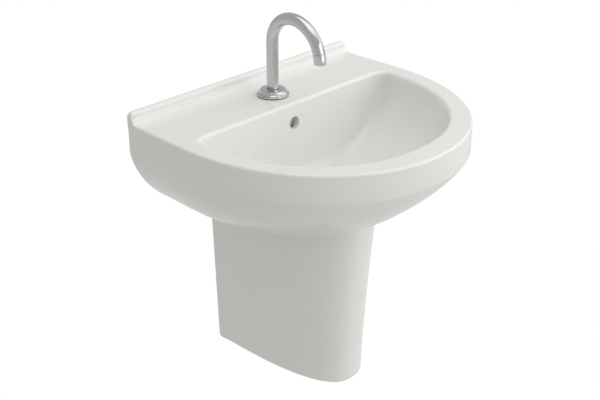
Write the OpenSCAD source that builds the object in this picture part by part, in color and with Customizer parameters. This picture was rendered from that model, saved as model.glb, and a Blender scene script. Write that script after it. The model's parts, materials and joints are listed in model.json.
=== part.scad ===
// Wall-hung wash basin with a half pedestal, a swivel spout tap, a pop-up waste,
// a bottle trap and two angle valves. Millimetres, +Z up, the wall is the plane y = 0
// and the basin stands out along -Y. The origin is midway between the two basin bolts.

/* [Basin] */
// Overall width of the basin
basin_w = 600; // [520:5:700]
// Projection of the basin from the wall
basin_d = 510; // [440:5:600]
// Height of the basin from its underside to its rim
basin_h = 200; // [180:1:240]
// Height of the upright band below the rim
apron_h = 55; // [45:1:70]
// Thickness of the ceramic shell
wall_t = 10; // [8:0.5:13]
// Thickness of the ceramic deck that carries the tap
deck_t = 14; // [12:1:20]
// Thickness of the ceramic against the wall
back_t = 12; // [10:1:18]
// Distance from the wall to the widest line of the rim
widest_y = 169; // [150:1:200]
// Fullness of the front curve, 2 being an ellipse
front_power = 2.07; // [1.9:0.01:2.5]
// Width taken off each side where the basin meets the wall
back_taper = 3; // [0:0.5:8]
// Radius of the outer rim edge
rim_r = 5; // [3:0.5:8]
// Height of the splash ledge above the rim
ledge_h = 23; // [15:1:35]
// Depth of the flat top of the splash ledge
ledge_d = 14; // [10:1:22]
// Radius of the hollow between the splash ledge and the deck
ledge_fillet = 11; // [6:1:16]

/* [Underside] */
// Width of the flat under the basin
foot_w = 340; // [300:5:380]
// Projection of the flat under the basin
foot_d = 344; // [325:1:370]
// Fullness of the belly at the sides
belly_side_power = 1.56; // [1.3:0.02:2]
// Fullness of the belly at the front
belly_front_power = 1.2; // [1.1:0.02:1.8]
// Half width of the service opening in the underside
service_w = 84; // [70:1:86]
// Front of the service opening, from the wall
service_d = 318; // [295:1:322]

/* [Bowl] */
// Distance from the wall to the back edge of the bowl
bowl_back = 148; // [140:1:160]
// Width of the rim beside the bowl
side_rim = 41; // [34:1:60]
// Width of the rim in front of the bowl
front_rim = 51; // [38:1:70]
// Depth of the bowl at the waste
bowl_depth = 150; // [130:1:158]
// Radius of the rounded bowl edge
bowl_edge_r = 7; // [4:0.5:10]
// Distance from the wall to the waste
waste_y = 250; // [235:1:265]
// Radius of the flat floor round the waste
floor_r = 38; // [36:1:45]
// Depth of the overflow hole below the rim
overflow_drop = 43; // [38:1:60]
// Diameter of the overflow hole
overflow_d = 25; // [18:1:28]

/* [Half pedestal] */
// Width of the half pedestal
ped_w = 182; // [170:1:200]
// Spread of each side of the half pedestal from its foot to its top
ped_spread = 12; // [0:1:16]
// Projection of the half pedestal at its foot
ped_d = 318; // [310:1:330]
// Forward flare of the half pedestal from its foot to its top
ped_flare = 25; // [10:1:30]
// Height of the half pedestal below the basin
ped_h = 374; // [320:1:420]
// Thickness of the half pedestal
ped_t = 10; // [8:0.5:13]
// Length of the straight sides of the half pedestal
ped_side = 32; // [26:1:80]
// Fullness of the front of the half pedestal
ped_power = 2.6; // [2:0.05:3]
// Radius of the lower edge of the half pedestal
ped_edge_r = 13; // [4:0.5:14]
// Joint between the half pedestal and the basin
ped_joint = 1; // [0.5:0.1:2]

/* [Wall fixings] */
// Height of the rim above the basin bolts
rim_z = 100; // [85:1:110]
// Spacing of the basin bolts
bolt_spacing = 280; // [240:5:300]
// Diameter of the basin bolts
bolt_d = 10; // [8:1:12]
// Length of each bolt behind the wall face
bolt_anchor = 60; // [40:5:80]
// Diameter of the bolt holes in the basin
bolt_hole_d = 18; // [16:1:22]
// Depth of the relief at the wall round each bolt
bolt_relief = 3; // [2:0.5:4]
// Spacing of the half pedestal bolts
ped_bolt_spacing = 162; // [158:1:164]
// Diameter of the half pedestal bolts
ped_bolt_d = 8; // [6:1:9]
// Distance of the half pedestal bolts below the basin
ped_bolt_drop = 58; // [50:1:66]

/* [Tap] */
// Distance from the wall to the tap axis
tap_y = 87; // [80:1:96]
// Diameter of the spout tube
spout_d = 24; // [20:0.5:26]
// Wall of the spout tube
spout_wall = 2.5; // [1.5:0.5:3]
// Height of the straight part of the spout above the rim
spout_rise = 111; // [90:1:160]
// Radius of the rear bend of the spout
rear_bend_r = 57; // [40:1:60]
// Radius of the front bend of the spout
front_bend_r = 72; // [60:1:90]
// Diameter of the tap base plate
base_d = 65; // [58:1:68]
// Height of the tap base above the deck
base_h = 13.5; // [12:0.5:18]
// Length of the outlet sleeve along the front bend
sleeve_len = 19; // [15:1:24]
// Diameter of the threaded tap shank
shank_d = 32; // [30:1:33]
// Length of the tap shank below the deck surface
shank_len = 55; // [50:1:70]
// Diameter of the tap hole in the deck
tap_hole_d = 35; // [34:0.5:36]

/* [Waste and trap] */
// Outer diameter of the threaded waste body
waste_d = 42; // [38:0.5:43]
// Diameter of the waste hole in the basin
waste_hole_d = 46; // [45:0.5:48]
// Diameter of the waste flange
waste_flange_d = 63; // [60:1:66]
// Length of the waste body below its flange
waste_len = 78; // [74:1:90]
// Travel of the pop-up plug
plug_travel = 8; // [5:0.5:9]
// Outer diameter of the trap pipes
pipe_d = 32; // [28:1:34]
// Wall of the trap pipes
pipe_wall = 1.8; // [1.2:0.2:2.4]
// Diameter of the trap body and cup
trap_d = 64; // [58:1:72]
// Depth of the trap outlet below the basin
trap_outlet_drop = 110; // [104:1:116]
// Length of the drain spigot behind the wall face
drain_anchor = 45; // [30:5:60]
// Outer diameter of the drain spigot
spigot_d = 31; // [27:0.5:31.5]

/* [Water supply] */
// Spacing of the two angle valves
valve_spacing = 100; // [96:1:110]
// Depth of the angle valves below the basin
valve_drop = 200; // [190:1:215]
// Diameter of the wall thread of each valve
valve_thread_d = 20.8; // [19:0.1:22]
// Length of each valve thread behind the wall face
valve_anchor = 15; // [10:1:20]
// Diameter of each hose
hose_d = 12; // [9:0.5:13]
// Diameter of the valve knobs
knob_d = 36; // [30:1:40]

/* [Hidden] */
$fn = 64;

// Colours
glaze = [0.93, 0.93, 0.91];
chrome = [0.78, 0.79, 0.81];
steel = [0.62, 0.63, 0.65];
rubber = [0.13, 0.13, 0.14];
white_plastic = [0.9, 0.9, 0.88];
braid = [0.7, 0.71, 0.72];

// Clearances
thread_gap = 0.05;
swivel_gap = 0.06;
loose_gap = 0.3;
cut = 1;

// Basin levels
under_z = rim_z - basin_h;
crease_z = rim_z - apron_h;
deck_under = rim_z - deck_t;
floor_z = rim_z - bowl_depth;

// Segments along an outline: half the back edge, a corner, a side and half the front
back_n = 3;
corner_n = 3;
side_n = 4;
front_n = 18;
bowl_n = 11;
belly_n = 11;
inner_n = 6;
round_n = 3;

function lerp(a, b, t) = a + (b - a) * t;

// Half of a D-shaped outline, from the middle of the back edge to the middle of the front.
// w and wb are half widths at the widest line and at the back. yb, ym and yf are the
// distances from the wall to the back edge, the widest line and the front. rx and ry
// are the radii of the back corner along X and Y.
function half_outline(z, w, wb, yb, ym, yf, n, rx, ry) = concat(
    [for (i = [0:back_n]) [(wb - rx) * i / back_n, -yb, z]],
    [for (i = [1:corner_n])
        let (a = 90 - 90 * i / corner_n)
        [wb - rx + rx * cos(a), -yb - ry + ry * sin(a), z]],
    [for (i = [1:side_n])
        let (t = i / side_n)
        [lerp(wb, w, pow(sin(90 * t), 1.9)), -lerp(yb + ry, ym, t), z]],
    [for (i = [1:front_n])
        let (a = 90 * i / front_n)
        [w * pow(max(cos(a), 0), 2 / n), -lerp(ym, yf, pow(sin(a), 2 / n)), z]]
);

// The whole outline, clockwise seen from above
function outline(z, w, wb, yb, ym, yf, n, rx, ry) =
    let (half = half_outline(z, w, wb, yb, ym, yf, n, rx, ry), last = len(half) - 1)
    concat(half, [for (i = [last - 1:-1:1]) [-half[i][0], half[i][1], half[i][2]]]);

// A closed skin through rings of equal length, capped at the first and last ring.
// The first cap faces up and the last one down.
module loft(rings) {
    n = len(rings[0]);
    last = len(rings) - 1;
    centres = [for (ring = [rings[0], rings[last]])
        [for (axis = [0:2])
            let (v = [for (p = ring) p[axis]])
            (min(v) + max(v)) / 2]];
    points = concat([for (ring = rings) each ring], centres);
    first_mid = len(points) - 2;
    last_mid = len(points) - 1;
    walls = [for (r = [0:last - 1], i = [0:n - 1])
        let (a = r * n + i, b = r * n + (i + 1) % n)
        each [[a + n, b + n, b], [a + n, b, a]]];
    first_cap = [for (i = [0:n - 1]) [first_mid, i, (i + 1) % n]];
    last_cap = [for (i = [0:n - 1]) [last_mid, last * n + (i + 1) % n, last * n + i]];
    polyhedron(points = points, faces = concat(first_cap, walls, last_cap), convexity = 10);
}

// Share of the way from a narrow end to a full one at height t, 0 at the bottom, 1 at the top
function swell(t, p) = pow(max(1 - pow(1 - t, p), 0), 1 / p);

// Outer outline of the basin, inset by s, at height z
basin_half = basin_w / 2;
back_over = 2;
function rim_outline(z, s) = outline(
    z, basin_half - s, basin_half - back_taper - s, -back_over, widest_y, basin_d - s,
    front_power, 2, 2
);

// Belly of the basin, inset by s. t is 0 at the crease and 1 at the flat underside.
function belly_w(t, s) =
    lerp(foot_w / 2, basin_half, pow(max(1 - pow(t, belly_side_power), 0), 1 / belly_side_power)) - s;
function belly_d(t, s) =
    lerp(foot_d, basin_d, pow(max(1 - pow(t, belly_front_power), 0), 1 / belly_front_power)) - s;
foot_widest_y = 108;
function belly_y(t) = lerp(widest_y, foot_widest_y, t);
function belly_outline(z, t, s, yb, rc) = outline(
    z, belly_w(t, s), belly_w(t, s) - back_taper, yb, belly_y(t), belly_d(t, s), front_power, rc, rc
);

// Bowl at height t, 0 at its floor and 1 at its edge, grown outwards by s
bowl_half = basin_half - side_rim;
bowl_front = basin_d - front_rim;
bowl_side_power = 2.3;
bowl_back_power = 3.2;
bowl_front_power = 2;
bowl_shape = 2.15;
bowl_corner = 36;
function bowl_b(t, s) = lerp(waste_y - floor_r, bowl_back, swell(t, bowl_back_power)) - s;
function bowl_f(t, s) = lerp(waste_y + floor_r, bowl_front, swell(t, bowl_front_power)) + s;
function bowl_w(t, s) = lerp(floor_r, bowl_half, swell(t, bowl_side_power)) + s;
function bowl_m(t) = lerp(waste_y, bowl_back + 24, swell(t, bowl_back_power));
function bowl_outline(z, t, s) =
    let (b = bowl_b(t, s), w = bowl_w(t, s), m = bowl_m(t))
    outline(z, w, w, b, m, bowl_f(t, s), bowl_shape, bowl_corner + s, (m - b) * 0.8);

// Heights of the rings up the bowl wall, closer together near the floor
function bowl_t(i, n) = pow(i / n, 1.8);

// Highest ring of the bowl wall, where the rounded edge begins
edge_z = rim_z - bowl_edge_r;

bowl_rings = [for (i = [0:bowl_n])
    let (t = bowl_t(i, bowl_n))
    bowl_outline(lerp(floor_z, edge_z, t), t, 0)];
bowl_edge_rings = [for (i = [1:round_n])
    let (a = 90 * i / round_n)
    bowl_outline(edge_z + bowl_edge_r * sin(a), 1, bowl_edge_r * (1 - cos(a)))];
rim_rings = [for (i = [0:round_n])
    let (a = 90 * i / round_n)
    rim_outline(rim_z - rim_r * (1 - cos(a)), rim_r * (1 - sin(a)))];
belly_rings = [for (i = [0:belly_n])
    let (t = 1 - pow(1 - i / belly_n, 1.5))
    belly_outline(lerp(crease_z, under_z, t), t, 0, -back_over, 2)];

// Service opening in the underside, and the hollow above it
foot_inner_z = under_z + wall_t;
service_widest = 150;
service_power = 2.6;
service_back = back_t + 4;
function service_outline(z) = outline(
    z, service_w, service_w, service_back, service_widest, service_d, service_power, 8, 8
);
hollow_rings = [for (i = [0:inner_n])
    let (t = 1 - pow(i / inner_n, 1.5))
    belly_outline(lerp(crease_z, foot_inner_z, t), t, wall_t, back_t, 12)];
hollow_top_ring = belly_outline(deck_under, 0, wall_t, back_t, 12);
under_bowl_rings = [for (i = [0:inner_n + 1])
    let (t = bowl_t(inner_n + 1 - i, inner_n + 1))
    bowl_outline(lerp(floor_z - wall_t, deck_under, t), t, wall_t)];

// Splash ledge along the back, as a section in y and z
ledge_top = rim_z + ledge_h;
ledge_front_r = 5;
ledge_n = 6;
function arc(cy, cz, r, a0, a1) = [for (i = [0:ledge_n])
    let (a = lerp(a0, a1, i / ledge_n))
    [cy + r * cos(a), cz + r * sin(a)]];
ledge_section = concat(
    [[back_over, rim_z - rim_r], [back_over, ledge_top]],
    arc(-ledge_d + ledge_front_r, ledge_top - ledge_front_r, ledge_front_r, 90, 180),
    arc(-ledge_d - ledge_fillet, rim_z + ledge_fillet, ledge_fillet, 0, -90),
    [[-ledge_d - ledge_fillet, rim_z - rim_r]]
);
ledge_half = basin_half - back_taper - 0.5;

// Lays a section drawn in y and z along X, centred on x = 0
module along_x(length) {
    rotate([90, 0, 90]) linear_extrude(height = length, center = true) children();
}

// Boss round the waste hole, and the overflow duct down the back of the bowl
boss_r = 35;
boss_h = 36;
boss_under = floor_z - boss_h;
duct_gap = 9;
duct_wall = 6;
duct_w = 30;
duct_n = 12;
duct_top_t = 1 - (overflow_drop - bowl_edge_r - overflow_d / 2 - 4) / (bowl_depth - bowl_edge_r);
function duct_line(s, t1) = [for (i = [0:duct_n])
    let (t = pow(i / duct_n, 1.8) * t1)
    [-bowl_b(t, s), lerp(floor_z - s, edge_z, t)]];
function reversed(v) = [for (i = [len(v) - 1:-1:0]) v[i]];
duct_skin = concat(
    [[-waste_y, floor_z - wall_t / 2]],
    duct_line(wall_t / 2, 1),
    reversed(duct_line(wall_t + duct_gap + duct_wall, 1)),
    [[-waste_y, floor_z - wall_t - duct_gap - duct_wall]]
);
duct_channel = concat(
    [[-waste_y, floor_z - wall_t]],
    duct_line(wall_t, duct_top_t),
    reversed(duct_line(wall_t + duct_gap, duct_top_t)),
    [[-waste_y, floor_z - wall_t - duct_gap]]
);

// Window in the back of the basin, between its two fixing pads
window_half = 90;
window_top = rim_z - 75;

// Recess for the waste flange
recess_r = waste_flange_d / 2 + 1.5;
recess_d = 4;

module at_waste(z) {
    translate([0, -waste_y, z]) children();
}

module at_tap(z) {
    translate([0, -tap_y, z]) children();
}

module mirrored_x() {
    for (side = [-1, 1]) scale([side, 1, 1]) children();
}

module hex(across, h) {
    cylinder(d = across / cos(30), h = h, $fn = 6);
}

module tube(ro, ri, h) {
    difference() {
        cylinder(r = ro, h = h);
        translate([0, 0, -cut]) cylinder(r = ri, h = h + 2 * cut);
    }
}

// Turns a piece built up +Z so that it points out from the wall, along -Y
module from_wall() {
    rotate([90, 0, 0]) children();
}

module basin() {
    color(glaze) difference() {
        union() {
            loft(concat(
                bowl_rings, bowl_edge_rings, rim_rings, belly_rings,
                [service_outline(under_z), service_outline(foot_inner_z)],
                hollow_rings, [hollow_top_ring], under_bowl_rings
            ));
            along_x(2 * ledge_half) polygon(ledge_section);
            along_x(duct_w + 2 * duct_wall) polygon(duct_skin);
            at_waste(boss_under) cylinder(r = boss_r, h = boss_h - wall_t / 2);
        }
        along_x(duct_w) polygon(duct_channel);
        at_waste(boss_under - cut) cylinder(d = waste_hole_d, h = boss_h + 2 * cut);
        at_waste(floor_z - recess_d) cylinder(r = recess_r, h = recess_d + cut);
        at_tap(deck_under - cut) cylinder(d = tap_hole_d, h = deck_t + 2 * cut);
        translate([0, -bowl_back + wall_t, rim_z - overflow_drop])
            from_wall() cylinder(d = overflow_d, h = wall_t + 20);
        mirrored_x() translate([bolt_spacing / 2, cut, 0]) from_wall() {
            cylinder(d = bolt_hole_d, h = back_t + 2 * cut);
            cylinder(d = bolt_hole_d + 8, h = bolt_relief + cut);
        }
        translate([-window_half, -service_back - cut, under_z - cut])
            cube([2 * window_half, service_back + 10, window_top - under_z + cut]);
        translate([-basin_w, 0, under_z - cut]) cube([2 * basin_w, 10, basin_h + ledge_h + 10]);
    }
}

// Height of the underside above a point at distance y from the wall and x from the middle
function foot_t(x, y, lo, hi, steps) =
    let (mid = (lo + hi) / 2)
    steps == 0 ? mid :
    belly_reach(x, mid) < y ? foot_t(x, y, lo, mid, steps - 1) : foot_t(x, y, mid, hi, steps - 1);
function belly_reach(x, t) =
    let (w = belly_w(t, 0), ym = belly_y(t))
    abs(x) >= w ? 0 : lerp(ym, belly_d(t, 0), pow(1 - pow(abs(x) / w, front_power), 1 / front_power));
function under_at(x, y) =
    belly_reach(x, 1) >= y ? under_z : lerp(crease_z, under_z, foot_t(x, y, 0, 1, 14));

// Half pedestal outline inset by s, at share t of its height, 0 at the foot
ped_half = ped_w / 2;
ped_foot = under_z - ped_h;
ped_corner = 6;
ped_taper = 2;
function ped_side_x(t, s) = ped_half + ped_spread * t - s;
function ped_outline(z, t, s, yb) = outline(
    z, ped_side_x(t, s) - ped_taper, ped_side_x(t, s), yb, ped_side,
    ped_d + ped_flare * pow(t, 1.5) - s, ped_power, ped_corner, ped_corner
);
function under_basin(ring) = [for (p = ring) [p[0], p[1], under_at(p[0], -p[1]) - ped_joint]];
ped_n = 4;
ped_floor = ped_foot + ped_t;
ped_inner = [for (i = [0:ped_n])
    let (t = i / (ped_n + 1))
    ped_outline(lerp(ped_floor, under_z, t), t, ped_t, ped_t)];
ped_outer = [for (i = [ped_n:-1:0])
    let (t = i / (ped_n + 1))
    ped_outline(lerp(ped_foot + ped_edge_r, under_z, t), t, 0, -back_over)];
ped_edge = [for (i = [1:round_n])
    let (a = 90 * i / round_n)
    ped_outline(ped_foot + ped_edge_r * (1 - sin(a)), 0, ped_edge_r * (1 - cos(a)), -back_over)];

// Lugs that take the half pedestal bolts
lug_w = 32;
lug_h = 36;
lug_z = under_z - ped_bolt_drop;
lug_side = ped_side_x((lug_z - ped_foot) / ped_h, ped_t / 2);
ped_window_half = ped_half - ped_t - 3;

module semi_pedestal() {
    color(glaze) difference() {
        union() {
            difference() {
                loft(concat(
                    ped_inner, [under_basin(ped_outline(0, 1, ped_t, ped_t))],
                    [under_basin(ped_outline(0, 1, 0, -back_over))], ped_outer, ped_edge
                ));
                translate([-ped_window_half, -ped_t - cut, ped_floor])
                    cube([2 * ped_window_half, ped_t + 10, ped_h + 20]);
            }
            mirrored_x()
                translate([lug_side - lug_w, -bolt_relief - ped_t, lug_z - lug_h / 2])
                    cube([lug_w, ped_t, lug_h]);
        }
        mirrored_x() translate([ped_bolt_spacing / 2, cut, lug_z])
            from_wall() cylinder(d = ped_bolt_d + 1, h = bolt_relief + ped_t + 2 * cut);
        translate([-basin_w, 0, ped_foot - cut]) cube([2 * basin_w, 10, ped_h + 20]);
    }
}

// Wall fixings. Each bolt runs from behind the wall face through the ceramic.
sleeve_rim_t = 3;
sleeve_rim_r = 14;
washer_t = 2;
nut_t = 8;
bolt_end = 12;

// The end in the wall is full size, and the room end is cut down by its finer thread
bolt_step = 0.4;
module wall_bolt(d, inner) {
    translate([0, bolt_anchor, 0]) from_wall() cylinder(d = d, h = bolt_anchor);
    translate([0, cut, 0]) from_wall() cylinder(d = d - bolt_step, h = inner + cut);
}

bolt_inner = back_t + sleeve_rim_t + washer_t + nut_t + bolt_end;
module basin_wall_bolts() {
    color(steel) mirrored_x() translate([bolt_spacing / 2, 0, 0]) wall_bolt(bolt_d, bolt_inner);
}

module basin_bolt_sleeves() {
    color(white_plastic) mirrored_x() translate([bolt_spacing / 2, 0, 0]) from_wall()
        difference() {
            union() {
                translate([0, 0, bolt_relief + 0.5])
                    cylinder(d = bolt_hole_d - 2 * loose_gap, h = back_t - bolt_relief);
                translate([0, 0, back_t]) cylinder(r = sleeve_rim_r, h = sleeve_rim_t);
            }
            cylinder(d = bolt_d + 2 * loose_gap, h = back_t + sleeve_rim_t + cut);
        }
}

module basin_bolt_washers() {
    color(steel) mirrored_x() translate([bolt_spacing / 2, -back_t - sleeve_rim_t, 0]) from_wall()
        tube(sleeve_rim_r - 1, bolt_d / 2 + loose_gap, washer_t);
}

module nut(across, d, h) {
    difference() {
        hex(across, h);
        translate([0, 0, -cut]) cylinder(d = d + 2 * thread_gap, h = h + 2 * cut);
    }
}

basin_nut_across = 17;
module basin_bolt_nuts() {
    color(steel) mirrored_x()
        translate([bolt_spacing / 2, -back_t - sleeve_rim_t - washer_t, 0]) from_wall()
        nut(basin_nut_across, bolt_d - bolt_step, nut_t);
}

ped_washer_r = 9;
ped_nut_t = 6;
ped_nut_across = 13;
module pedestal_wall_bolts() {
    color(steel) mirrored_x() translate([ped_bolt_spacing / 2, 0, lug_z])
        wall_bolt(ped_bolt_d, bolt_relief + ped_t + washer_t + ped_nut_t + bolt_end / 2);
}

module pedestal_bolt_washers() {
    color(white_plastic) mirrored_x()
        translate([ped_bolt_spacing / 2, -bolt_relief - ped_t, lug_z]) from_wall()
            tube(ped_washer_r, ped_bolt_d / 2 + loose_gap, washer_t);
}

module pedestal_bolt_nuts() {
    color(steel) mirrored_x()
        translate([ped_bolt_spacing / 2, -bolt_relief - ped_t - washer_t, lug_z]) from_wall()
            nut(ped_nut_across, ped_bolt_d - bolt_step, ped_nut_t);
}

// Tap: a base with a threaded shank, and a spout that turns in it
base_gasket_t = 1.5;
base_r = base_d / 2;
plate_t = 3.5;
plate_z = rim_z + base_gasket_t;
plate_top = plate_z + plate_t;
hub_r = 17;
hub_top = rim_z + base_h - 3.5;
thrust_t = 1;
stub_r = 10;
stub_bore_r = stub_r + swivel_gap;
spout_r = spout_d / 2;
spout_bore_r = spout_r - spout_wall - 1;
stub_len = 40;
chamber_r = 13;
chamber_floor = rim_z - shank_len + 15;
stub_end = hub_top + thrust_t - stub_len;
chamber_top = stub_end + 6;
port_x = 8;
port_r = 5;
port_len = 10;

module tap_base_gasket() {
    color(rubber) at_tap(rim_z) tube(base_r - 1.5, shank_d / 2 + loose_gap, base_gasket_t);
}

module tap_body() {
    color(chrome) at_tap(0) difference() {
        union() {
            translate([0, 0, plate_z]) cylinder(r = base_r, h = plate_t - 1);
            translate([0, 0, plate_z + plate_t - 1]) cylinder(r1 = base_r, r2 = base_r - 1, h = 1);
            translate([0, 0, plate_z]) cylinder(r = hub_r, h = hub_top - plate_z);
            translate([0, 0, rim_z - shank_len]) cylinder(d = shank_d, h = plate_top - rim_z + shank_len);
        }
        translate([0, 0, chamber_top - cut]) cylinder(r = stub_bore_r, h = hub_top - chamber_top + 2 * cut);
        translate([0, 0, chamber_floor]) cylinder(r = chamber_r, h = chamber_top - chamber_floor);
        mirrored_x() translate([port_x, 0, rim_z - shank_len - cut]) {
            cylinder(r = port_r, h = port_len + cut);
            cylinder(r = port_r - 2, h = chamber_floor - rim_z + shank_len + 2 * cut);
        }
    }
}

collar_foot_r = base_r - 2.5;
collar_top_r = base_r - 6.5;
collar_round = 1.6;
module tap_base_collar() {
    foot = plate_top;
    top = rim_z + base_h;
    roof = hub_top + thrust_t + loose_gap;
    color(chrome) at_tap(0) rotate_extrude() polygon([
        [hub_r + loose_gap, foot], [collar_foot_r, foot], [collar_foot_r, foot + 0.8],
        [collar_top_r + collar_round * 0.6, top - collar_round - 1],
        [collar_top_r, top - collar_round * 0.6 - 0.6],
        [collar_top_r - collar_round, top - 0.6], [spout_r + loose_gap + 4, top],
        [spout_r + loose_gap, top], [spout_r + loose_gap, roof], [hub_r + loose_gap, roof]
    ]);
}

clamp_r = 26;
rubber_t = 3;
steel_t = 1.5;
module tap_rubber_washer() {
    color(rubber) at_tap(deck_under - rubber_t) tube(clamp_r, shank_d / 2 + loose_gap, rubber_t);
}

module tap_steel_washer() {
    color(steel) at_tap(deck_under - rubber_t - steel_t) tube(clamp_r, shank_d / 2 + loose_gap, steel_t);
}

backnut_t = 9;
backnut_across = 41;
module tap_backnut() {
    color([0.75, 0.62, 0.35]) at_tap(deck_under - rubber_t - steel_t - backnut_t)
        nut(backnut_across, shank_d, backnut_t);
}

module spout_thrust_washer() {
    color(white_plastic) at_tap(hub_top) tube(hub_r - 1, stub_r + loose_gap, thrust_t);
}

// Bends of the spout, in the plane x = 0. Angles run from the column to the outlet.
apex_z = rim_z + spout_rise + rear_bend_r;
apex_y = tap_y + rear_bend_r;
sleeve_angle = sleeve_len / front_bend_r * 180 / PI;
seam = 0.3;
seam_angle = seam / front_bend_r * 180 / PI;

// A bent tube about a point in the plane x = 0, from angle a0 to a1, measured from the
// wall side (+Y) upwards. An inner radius of 0 makes it solid.
module bend(cy, cz, bend_r, ro, ri, a0, a1) {
    translate([0, -cy, cz]) rotate([90, 0, 90]) rotate([0, 0, a0])
        rotate_extrude(angle = a1 - a0) translate([bend_r, 0]) difference() {
            circle(r = ro);
            if (ri > 0) circle(r = ri);
        }
}

module front_bend(ro, ri, a0, a1) {
    bend(apex_y, apex_z - front_bend_r, front_bend_r, ro, ri, a0, a1);
}

ring_minor = 1.2;
ring_major = stub_r - ring_minor - 0.02;
ring_levels = [hub_top - 9, hub_top - 19];
clip_z = chamber_top - 2.2;
clip_t = 1.4;
clip_groove_r = stub_r - 1.4;
water_r = 6;
spout_end = 180 - sleeve_angle - seam_angle;
spigot_angle = 4;
spigot_r = spout_bore_r + 0.4;

module tap_spout() {
    shoulder = hub_top + thrust_t;
    color(chrome) difference() {
        union() {
            at_tap(shoulder) tube(spout_r, spout_bore_r, rim_z + spout_rise - shoulder);
            bend(apex_y, rim_z + spout_rise, rear_bend_r, spout_r, spout_bore_r, 0, 90);
            front_bend(spout_r, spout_bore_r, 90, spout_end);
            front_bend(spigot_r, spout_bore_r - 0.6, spout_end - spigot_angle, spout_end + spigot_angle);
            at_tap(stub_end) tube(stub_r, water_r, stub_len + 6);
        }
        for (z = ring_levels)
            at_tap(z - ring_minor) tube(stub_r + 1, ring_major - ring_minor, 2 * ring_minor);
        at_tap(clip_z) tube(stub_r + 1, clip_groove_r, clip_t);
    }
}

module spout_o_rings() {
    color(rubber) for (z = ring_levels) at_tap(z) rotate_extrude()
        translate([ring_major, 0]) circle(r = ring_minor);
}

module spout_retaining_clip() {
    color(steel) at_tap(clip_z + 0.1) difference() {
        tube(chamber_r - 0.8, clip_groove_r + 0.1, clip_t - 0.2);
        translate([-3, 0, -cut]) cube([6, chamber_r + cut, clip_t + 2 * cut]);
    }
}

// Outlet: a sleeve on the end of the bend, holding the aerator
sleeve_r = spout_r + 0.1;
aerator_r = spout_bore_r + 0.2;
aerator_h = 6;
module aerator_sleeve() {
    color(chrome) difference() {
        front_bend(sleeve_r, 0, 180 - sleeve_angle, 180);
        front_bend(spigot_r + 0.2, 0, 179 - sleeve_angle, 181);
        translate([0, -apex_y - front_bend_r, apex_z - front_bend_r - cut])
            cylinder(r = aerator_r + loose_gap, h = aerator_h + 1.5 + cut);
    }
}

module aerator_insert() {
    color(white_plastic) translate([0, -apex_y - front_bend_r, apex_z - front_bend_r + 0.4])
        difference() {
            cylinder(r = aerator_r, h = aerator_h - 1);
            translate([0, 0, -cut]) tube(aerator_r - 1.4, aerator_r - 2.6, aerator_h - 2);
            for (ring = [[0, 1], [2.6, 6], [5.2, 12]], k = [0:ring[1] - 1])
                rotate([0, 0, 360 * k / ring[1]]) translate([ring[0], 0, -cut])
                    cylinder(r = 0.8, h = aerator_h + cut);
        }
}

module aerator_seal() {
    color(rubber) translate([0, -apex_y - front_bend_r, apex_z - front_bend_r + aerator_h - 0.6])
        tube(aerator_r, aerator_r - 2.2, 1.6);
}

// Waste: a flanged body clamped through the bowl floor
waste_r = waste_d / 2;
waste_bore_r = waste_r - 3;
seal_t = 1.5;
flange_t = 2.6;
flange_z = floor_z - recess_d + seal_t;
waste_end = flange_z - waste_len;
module waste_seal() {
    color(rubber) at_waste(floor_z - recess_d) tube(waste_flange_d / 2 - 1, waste_r + loose_gap, seal_t);
}

slot_h = 18;
slot_w = 11;
module waste_body() {
    color(chrome) at_waste(0) difference() {
        union() {
            translate([0, 0, flange_z]) rotate_extrude() polygon([
                [0, 0], [waste_flange_d / 2, 0], [waste_flange_d / 2, flange_t * 0.4],
                [waste_flange_d / 2 - 2, flange_t], [0, flange_t]
            ]);
            translate([0, 0, waste_end]) cylinder(r = waste_r, h = waste_len);
        }
        translate([0, 0, waste_end - cut]) cylinder(r = waste_bore_r, h = waste_len + flange_t + 2 * cut);
        translate([0, 0, flange_z + 0.4]) cylinder(r1 = waste_bore_r, r2 = waste_r + 3, h = flange_t);
        for (k = [0:3]) rotate([0, 0, 45 + 90 * k])
            translate([0, -slot_w / 2, flange_z - 12 - slot_h]) cube([waste_r + 5, slot_w, slot_h]);
    }
}

lower_seal_t = 8;
lower_seal_z = boss_under - lower_seal_t;
module waste_lower_seal() {
    color(rubber) at_waste(lower_seal_z) difference() {
        cylinder(r1 = boss_r - 6, r2 = boss_r - 3, h = lower_seal_t);
        translate([0, 0, -cut]) cylinder(r = waste_r + loose_gap, h = lower_seal_t + 2 * cut);
    }
}

waste_nut_t = 11;
waste_nut_across = 54;
module waste_backnut() {
    color(chrome) at_waste(lower_seal_z - waste_nut_t) difference() {
        union() {
            hex(waste_nut_across, waste_nut_t);
            translate([0, 0, waste_nut_t - 3]) cylinder(r = boss_r - 4, h = 3);
        }
        translate([0, 0, -cut]) cylinder(r = waste_r + thread_gap, h = waste_nut_t + 2 * cut);
    }
}

// Plug mechanism: a spider in the waste body carries the stem that the plug stands on
spider_z = flange_z - 12;
spider_t = 4;
stem_r = 6;
stem_drop = plug_travel + 4;
module plug_cartridge() {
    color(white_plastic) at_waste(spider_z) difference() {
        union() {
            tube(waste_bore_r - thread_gap, waste_bore_r - 3, spider_t);
            for (k = [0:2]) rotate([0, 0, 90 + 120 * k]) translate([stem_r, -1.5, 0.5])
                cube([waste_bore_r - 2 - stem_r, 3, spider_t - 1]);
            translate([0, 0, -stem_drop - 4]) cylinder(r = stem_r + 2, h = stem_drop + 4 + spider_t);
        }
        translate([0, 0, -stem_drop - 2])
            cylinder(r = stem_r - 2 + swivel_gap, h = stem_drop + 2 + spider_t + cut);
    }
}

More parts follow.
